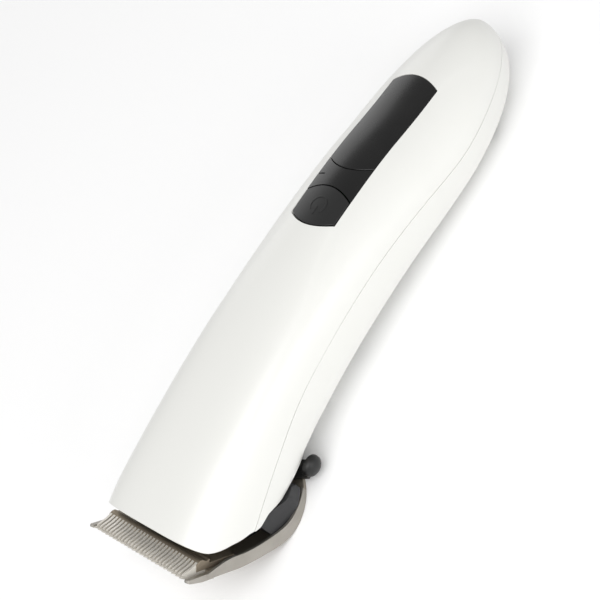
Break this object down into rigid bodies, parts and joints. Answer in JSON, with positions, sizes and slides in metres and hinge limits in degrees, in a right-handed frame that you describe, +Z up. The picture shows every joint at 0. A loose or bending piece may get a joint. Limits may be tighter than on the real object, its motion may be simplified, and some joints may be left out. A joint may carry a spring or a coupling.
{
  "type": "animal hair clipper",
  "caption": "Cordless animal hair clipper: curved slim body, wide tilt-off blade set with fine comb teeth, side adjusting lever, black control panel with power button.",
  "frame": {"origin": "middle of the plan outline, at the height of the lowest point, on the surface it lies on", "axes": "+Y along the body from the teeth to the tail, +Z up through the control panel, +X to the lever side"},
  "size_m": [0.0418, 0.1797, 0.0392],
  "materials": {
    "white_abs": "satin moulded ABS",
    "black_gloss": "polished black PMMA",
    "button_black": "satin black ABS",
    "lens": "clear lens, unlit",
    "grey_abs": "dark grey moulded ABS",
    "pom_black": "black acetal",
    "blade_steel": "ground steel",
    "spring_steel": "spring steel",
    "zinc_steel": "zinc plated",
    "motor_steel": "plated can",
    "brass": "machined",
    "board_green": "solder mask",
    "cell_wrap": "heat-shrink sleeve",
    "nickel": "nickel strip",
    "wire_red": "insulated wire",
    "led_white": "LED package",
    "cap_nylon": "natural nylon"
  },
  "bodies": {
    "housing": {"top_shell": "white_abs", "bottom_shell": "white_abs", "upper_panel": "black_gloss", "middle_panel": "black_gloss", "indicator_light": "lens", "circuit_board": "board_green", "tact_switch": "pom_black", "indicator_led": "led_white", "board_chip": "pom_black", "battery_cell": "cell_wrap", "battery_cradle": "grey_abs", "battery_tabs": "nickel", "motor_leads": "wire_red", "socket_ring": "grey_abs", "socket_body": "pom_black", "socket_pin": "nickel", "socket_contact": "nickel", "motor_can": "motor_steel", "motor_bush": "brass", "motor_endcap": "cap_nylon", "motor_terminals": "brass", "motor_mount": "grey_abs", "hinge_pin": "zinc_steel", "shell_screws": "zinc_steel"},
    "button": {"power_button": "button_black"},
    "rotor": {"motor_armature": "motor_steel", "motor_shaft": "zinc_steel", "drive_cam": "pom_black", "drive_pin": "zinc_steel"},
    "blade_set": {"comb_blade": "blade_steel", "blade_frame": "grey_abs", "blade_screws": "zinc_steel", "lever_rivet": "zinc_steel"},
    "carriage": {"adjust_carriage": "blade_steel", "pressure_spring": "spring_steel", "spring_rivets": "zinc_steel"},
    "cutter": {"cutter_blade": "blade_steel", "drive_block": "pom_black"},
    "lever": {"adjust_lever": "grey_abs", "crank_pin": "zinc_steel", "lever_grip": "grey_abs"}
  },
  "joints": [
    {"name": "power_press", "type": "slide", "parent": "housing", "child": "button", "axis": [0, 0, -1], "range_m": [0, 0.0006], "stiffness_N_per_m": 1500},
    {"name": "motor_spin", "type": "hinge", "parent": "housing", "child": "rotor", "pos_m": [0, -0.05, 0.02], "axis": [0, 1, 0], "continuous": true},
    {"name": "blade_tilt", "type": "hinge", "parent": "housing", "child": "blade_set", "pos_m": [0, -0.044, 0.0075], "axis": [1, 0, 0], "range_deg": [0, 22]},
    {"name": "lever_swing", "type": "hinge", "parent": "blade_set", "child": "lever", "pos_m": [0, -0.053, 0.0025], "axis": [0, 0, 1], "range_deg": [0, 20]},
    {"name": "cutter_adjust", "type": "slide", "parent": "blade_set", "child": "carriage", "axis": [0, 0.6157, -0.788], "range_m": [0, 0.0023]},
    {"name": "cutter_stroke", "type": "slide", "parent": "carriage", "child": "cutter", "axis": [1, 0, 0], "range_m": [-0.0009, 0.0009]}
  ],
  "couplings": [
    {"joint": "lever_swing", "follows": "cutter_adjust", "rad_per_m": 151.7}
  ]
}
